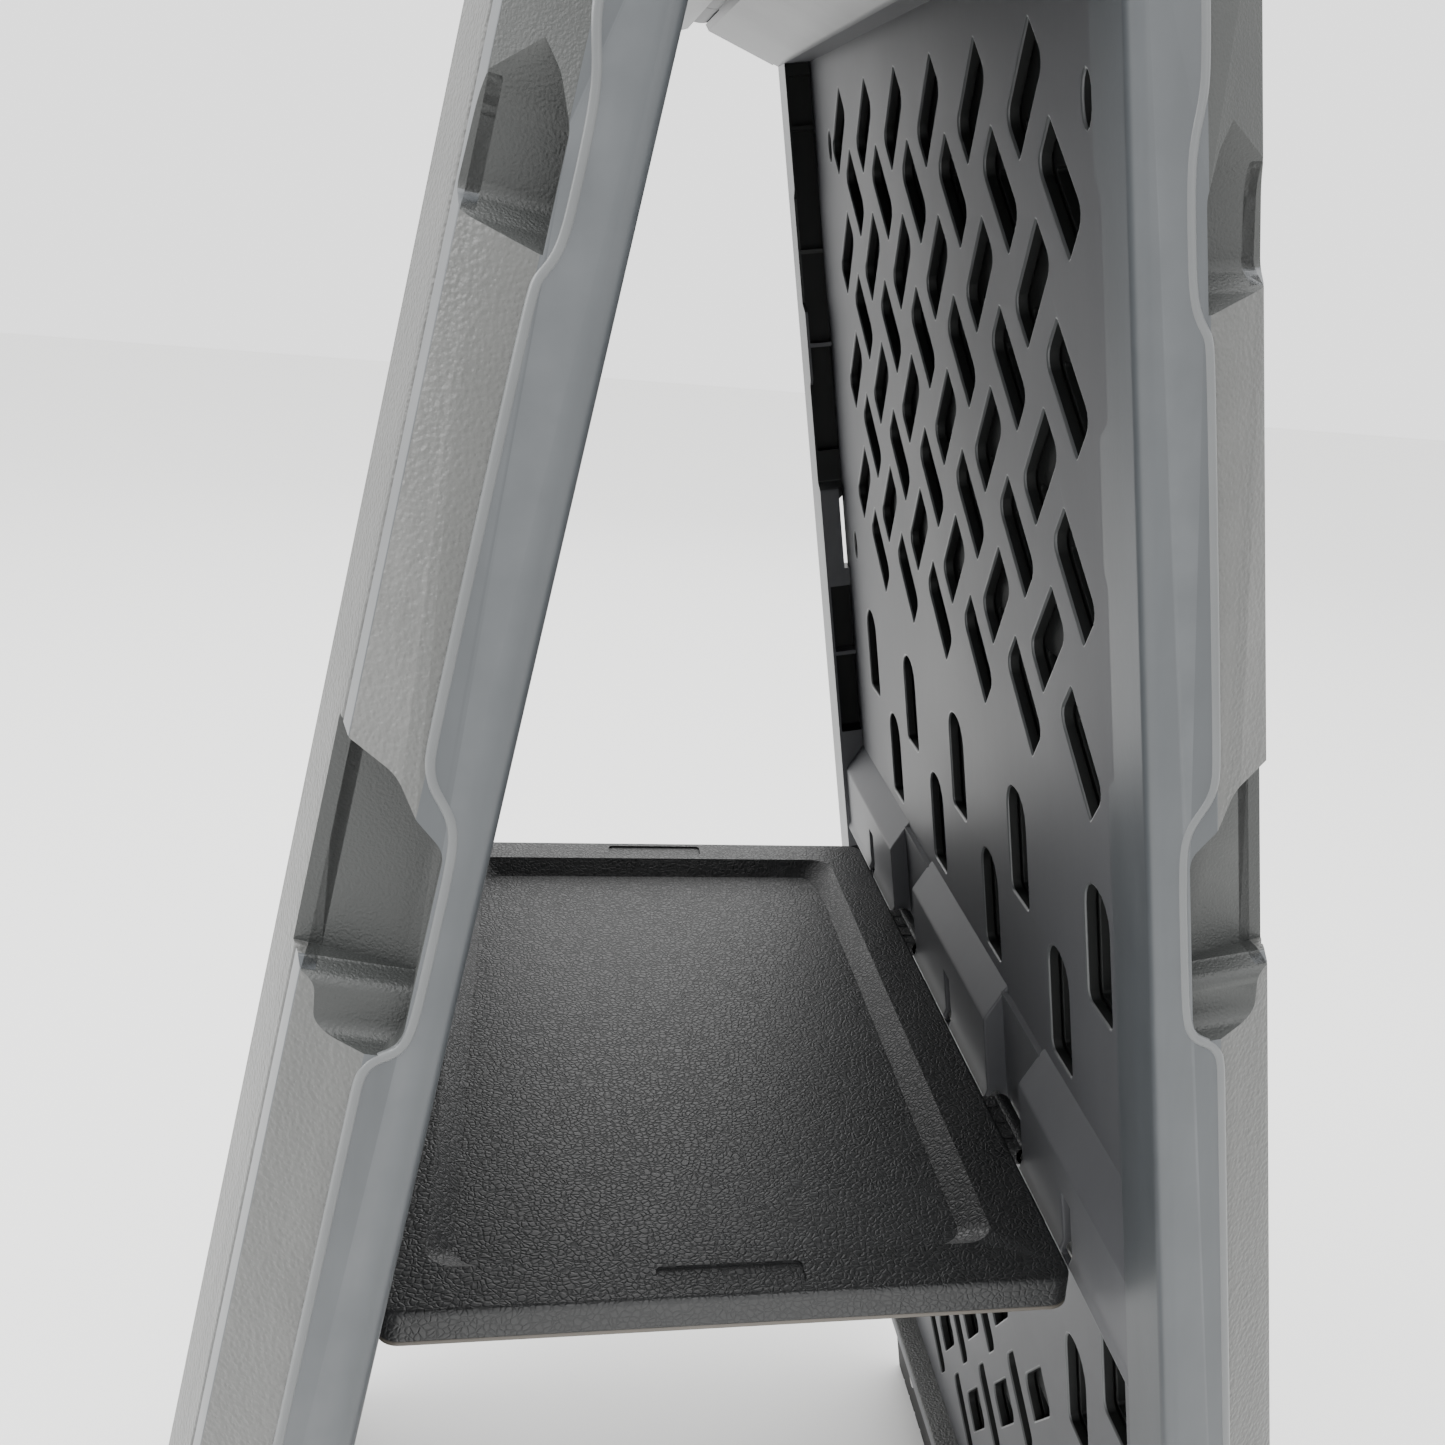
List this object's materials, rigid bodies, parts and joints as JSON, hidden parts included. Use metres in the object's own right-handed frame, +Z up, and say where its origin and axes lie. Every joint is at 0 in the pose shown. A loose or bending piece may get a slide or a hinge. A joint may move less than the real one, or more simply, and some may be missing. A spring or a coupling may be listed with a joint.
{
  "type": "folding sawhorse",
  "caption": "Folding sawhorse with two ribbed plastic legs hinged at the top, rubber feet and a tray that folds down between them.",
  "frame": {"origin": "on the floor, midway between the four feet", "axes": "+Z up, Y along the beam, +X out through the leg that carries the tray's hinge"},
  "size_m": [0.4072, 0.4942, 0.805],
  "materials": {
    "leg_plastic": "fine stipple",
    "tray_plastic": "leather grain",
    "foot_rubber": "matt",
    "grip_rubber": "matt, ribbed",
    "rod_steel": "bright zinc",
    "screw_steel": "zinc",
    "cap_plastic": "smooth"
  },
  "bodies": {
    "right_leg": {"leg_right": "leg_plastic", "foot_right_front": "foot_rubber", "foot_right_back": "foot_rubber", "foot_screws_right": "screw_steel", "grip_right": "grip_rubber", "grip_screws_right": "screw_steel", "hinge_rod": "rod_steel", "hinge_washers": "rod_steel", "rod_cap_front": "cap_plastic", "rod_cap_back": "cap_plastic", "tray_hinge_rod": "rod_steel"},
    "left_leg": {"leg_left": "leg_plastic", "foot_left_front": "foot_rubber", "foot_left_back": "foot_rubber", "foot_screws_left": "screw_steel", "grip_left": "grip_rubber", "grip_screws_left": "screw_steel", "catch_rod": "rod_steel"},
    "tray": {"tray": "tray_plastic", "cradle_front": "cap_plastic", "cradle_back": "cap_plastic", "cradle_screws": "screw_steel"}
  },
  "joints": [
    {"name": "leg_fold", "type": "hinge", "parent": "right_leg", "child": "left_leg", "pos_m": [0, 0, 0.776], "axis": [0, -1, 0], "range_deg": [0, 19.4]},
    {"name": "tray_fold", "type": "hinge", "parent": "right_leg", "child": "tray", "pos_m": [0.10947, 0, 0.36675], "axis": [0, -1, 0], "range_deg": [0, 99.6]}
  ],
  "couplings": [
    {"joint": "tray_fold", "follows": "leg_fold", "ratio": 5.13}
  ]
}
